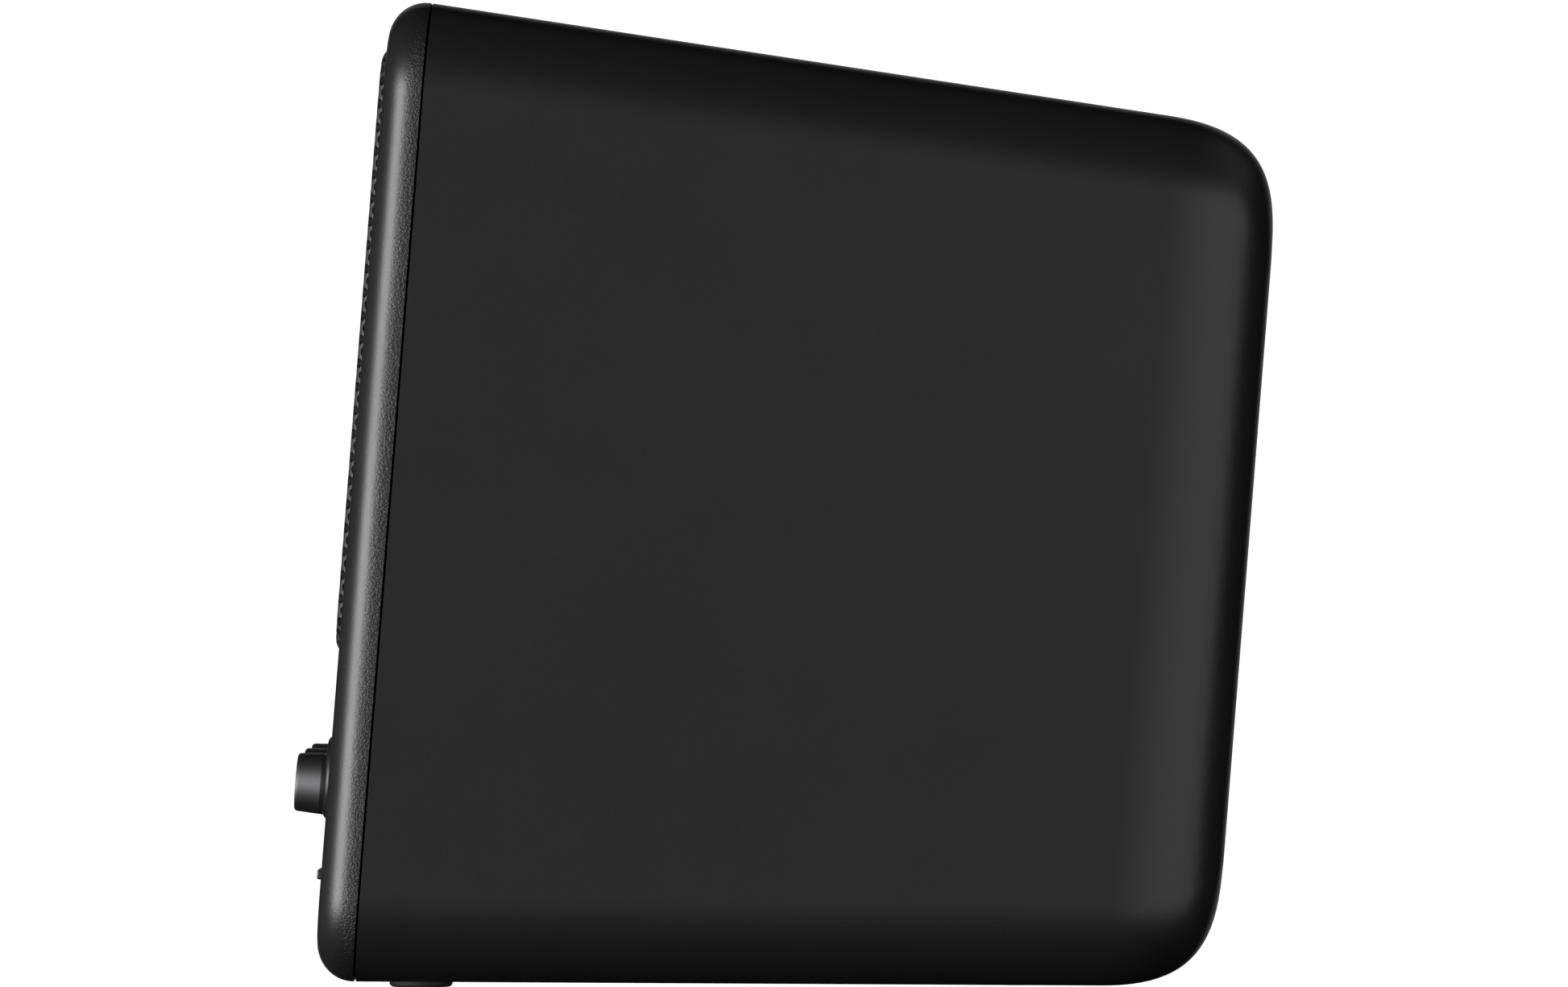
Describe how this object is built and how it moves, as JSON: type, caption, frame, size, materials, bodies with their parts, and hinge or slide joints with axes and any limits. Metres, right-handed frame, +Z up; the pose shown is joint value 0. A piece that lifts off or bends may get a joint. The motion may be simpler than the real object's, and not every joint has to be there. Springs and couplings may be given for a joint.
{
  "type": "powered desk speaker",
  "caption": "Compact black powered desk speaker: tapered bucket cabinet leaning back, round-edged front with a square perforated grille, turning controls, a bar power button and flat feet.",
  "frame": {"origin": "centre of the bounding box in plan, on the surface that the feet stand on", "axes": "+Z up, the front faces -Y, and +X is to the right of someone facing the front"},
  "size_m": [0.15, 0.2077, 0.2077],
  "materials": {
    "textured_black": "moulded black with a fine grain",
    "satin_black": "smooth satin black",
    "grille_black": "perforated steel, powder coated black",
    "painted_black": "satin black paint",
    "rubber": "matt black",
    "bright_steel": "zinc or nickel plated",
    "ferrite": "ground ferrite, dark grey",
    "copper_winding": "enamelled copper wire",
    "cone_paper": "pressed paper, black",
    "spider_cloth": "resin-stiffened cloth",
    "circuit_board": "green solder mask",
    "dark_plastic": "moulded, dark grey",
    "pale_plastic": "natural nylon",
    "aluminium": "extruded",
    "capacitor_sleeve": "dark blue sleeve",
    "transformer_tape": "yellow tape over the windings",
    "damping_foam": "open-cell foam, dark grey",
    "red_wire": "red insulation",
    "black_wire": "black insulation"
  },
  "bodies": {
    "cabinet": {"cabinet_shell": "textured_black", "front_baffle": "textured_black", "control_plate": "textured_black", "bass_port": "textured_black", "speaker_grille": "grille_black", "driver_basket": "painted_black", "rear_panel": "painted_black", "seam_gasket": "rubber", "driver_gasket": "rubber", "driver_surround": "rubber", "foot_front_left": "rubber", "foot_front_right": "rubber", "foot_rear_left": "rubber", "foot_rear_right": "rubber", "driver_top_plate": "bright_steel", "driver_yoke": "bright_steel", "rca_jack_left": "bright_steel", "rca_jack_right": "bright_steel", "driver_screw_1": "bright_steel", "driver_screw_2": "bright_steel", "driver_screw_3": "bright_steel", "driver_screw_4": "bright_steel", "baffle_screw_1": "bright_steel", "baffle_screw_2": "bright_steel", "baffle_screw_3": "bright_steel", "baffle_screw_4": "bright_steel", "panel_screw_1": "bright_steel", "panel_screw_2": "bright_steel", "panel_screw_3": "bright_steel", "panel_screw_4": "bright_steel", "driver_magnet": "ferrite", "driver_spider": "spider_cloth", "control_board": "circuit_board", "amplifier_board": "circuit_board", "terminal_strip": "circuit_board", "volume_potentiometer": "dark_plastic", "bass_potentiometer": "dark_plastic", "treble_potentiometer": "dark_plastic", "power_switch": "dark_plastic", "aux_input_jack": "dark_plastic", "mains_inlet": "dark_plastic", "status_light_pipe": "pale_plastic", "control_cable": "pale_plastic", "heat_sink": "aluminium", "bulk_capacitor": "capacitor_sleeve", "power_transformer": "transformer_tape", "damping_pad": "damping_foam", "speaker_wire_positive": "red_wire", "speaker_wire_negative": "black_wire"},
    "volume_control": {"volume_knob": "satin_black", "volume_shaft": "bright_steel"},
    "bass_control": {"bass_knob": "satin_black", "bass_shaft": "bright_steel"},
    "treble_control": {"treble_knob": "satin_black", "treble_shaft": "bright_steel"},
    "power_key": {"power_button": "satin_black", "switch_plunger": "pale_plastic"},
    "cone_assembly": {"driver_cone": "cone_paper", "dust_cap": "cone_paper", "voice_coil": "copper_winding"}
  },
  "joints": [
    {"name": "volume_turn", "type": "hinge", "parent": "cabinet", "child": "volume_control", "pos_m": [-0.0375, -0.09562, 0.04234], "axis": [0, 0.9969, -0.079], "range_deg": [-150, 150]},
    {"name": "bass_turn", "type": "hinge", "parent": "cabinet", "child": "bass_control", "pos_m": [0, -0.09562, 0.04234], "axis": [0, 0.9969, -0.079], "range_deg": [-150, 150]},
    {"name": "treble_turn", "type": "hinge", "parent": "cabinet", "child": "treble_control", "pos_m": [0.0375, -0.09562, 0.04234], "axis": [0, 0.9969, -0.079], "range_deg": [-150, 150]},
    {"name": "power_press", "type": "slide", "parent": "cabinet", "child": "power_key", "axis": [0, 0.9969, -0.079], "range_m": [0, 0.0012], "stiffness_N_per_m": 400, "springref_m": -0.003},
    {"name": "cone_travel", "type": "slide", "parent": "cabinet", "child": "cone_assembly", "axis": [0, 0.9969, -0.079], "range_m": [-0.002, 0.002], "stiffness_N_per_m": 1500, "deforming": ["driver_surround", "driver_spider"]}
  ]
}
